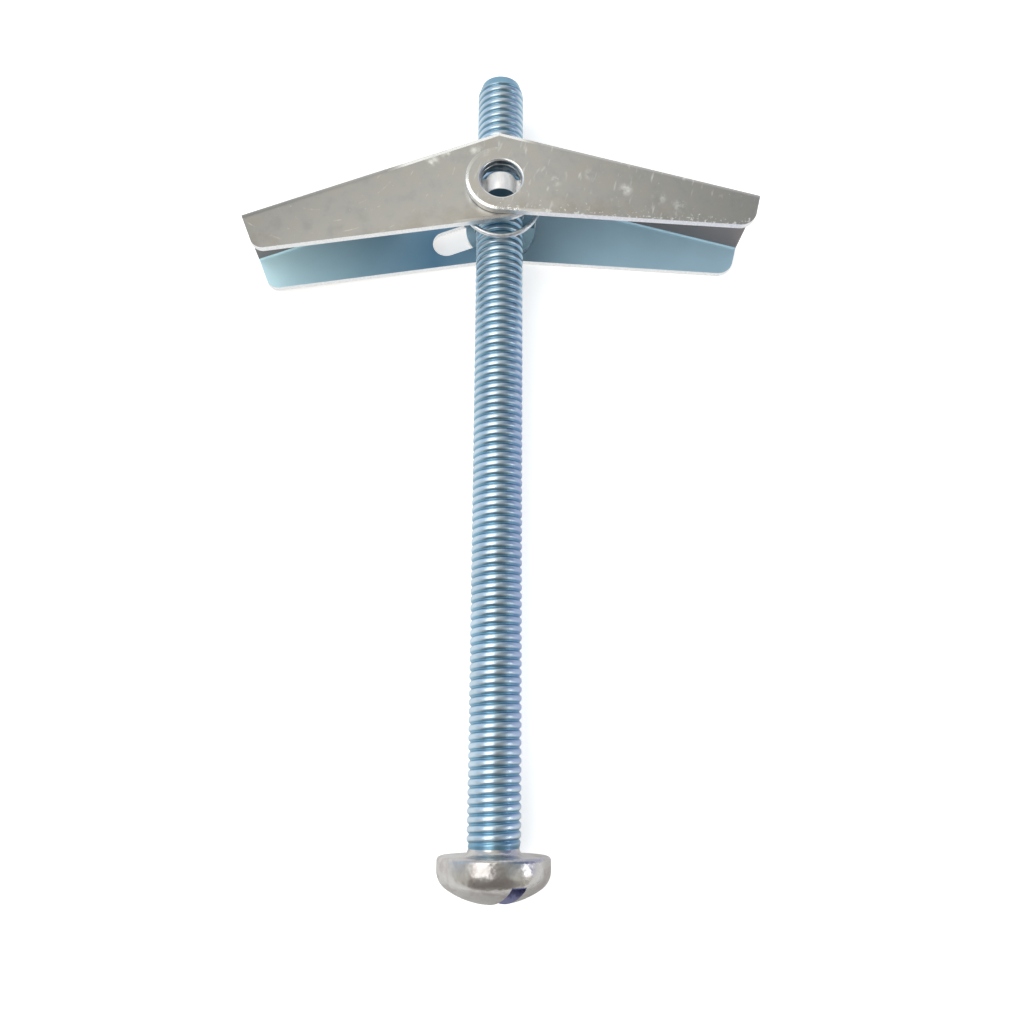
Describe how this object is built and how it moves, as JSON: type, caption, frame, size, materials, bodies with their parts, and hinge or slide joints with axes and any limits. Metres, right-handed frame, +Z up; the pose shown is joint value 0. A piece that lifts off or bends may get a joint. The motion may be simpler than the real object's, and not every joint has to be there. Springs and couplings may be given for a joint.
{
  "type": "spring toggle bolt",
  "caption": "Slotted round-head machine screw with a plate nut and spring-loaded folding channel wings, for fixing to hollow walls.",
  "frame": {"origin": "on the screw's axis at the flat underside of its head", "axes": "+Y along the screw from the head to the tip, +X toward the outer wing, +Z up from the floor it lies on, along the wings' hinge line"},
  "size_m": [0.0526, 0.0841, 0.0106],
  "materials": {
    "screw_zinc": "bright blue zinc plate on rolled steel",
    "nut_zinc": "bright zinc plate on stamped steel",
    "spring_wire": "drawn spring steel wire",
    "wing_zinc": "satin zinc plate on pressed sheet steel, scuffed"
  },
  "bodies": {
    "screw_body": {"screw": "screw_zinc"},
    "nut_body": {"nut": "nut_zinc", "spring": "spring_wire"},
    "left_wing_body": {"left_wing": "wing_zinc"},
    "right_wing_body": {"right_wing": "wing_zinc"}
  },
  "joints": [
    {"name": "nut_travel", "type": "slide", "parent": "screw_body", "child": "nut_body", "axis": [0, 1, 0], "range_m": [-0.037, 0.011]},
    {"name": "left_fold", "type": "hinge", "parent": "nut_body", "child": "left_wing_body", "pos_m": [0, 0.0653, 0], "axis": [0, 0, 1], "range_deg": [-9.6, 70], "stiffness_Nm_per_rad": 0.024, "deforming": ["spring"]},
    {"name": "right_fold", "type": "hinge", "parent": "nut_body", "child": "right_wing_body", "pos_m": [0, 0.0653, 0], "axis": [0, 0, -1], "range_deg": [-2.5, 76], "stiffness_Nm_per_rad": 0.024, "deforming": ["spring"]}
  ]
}
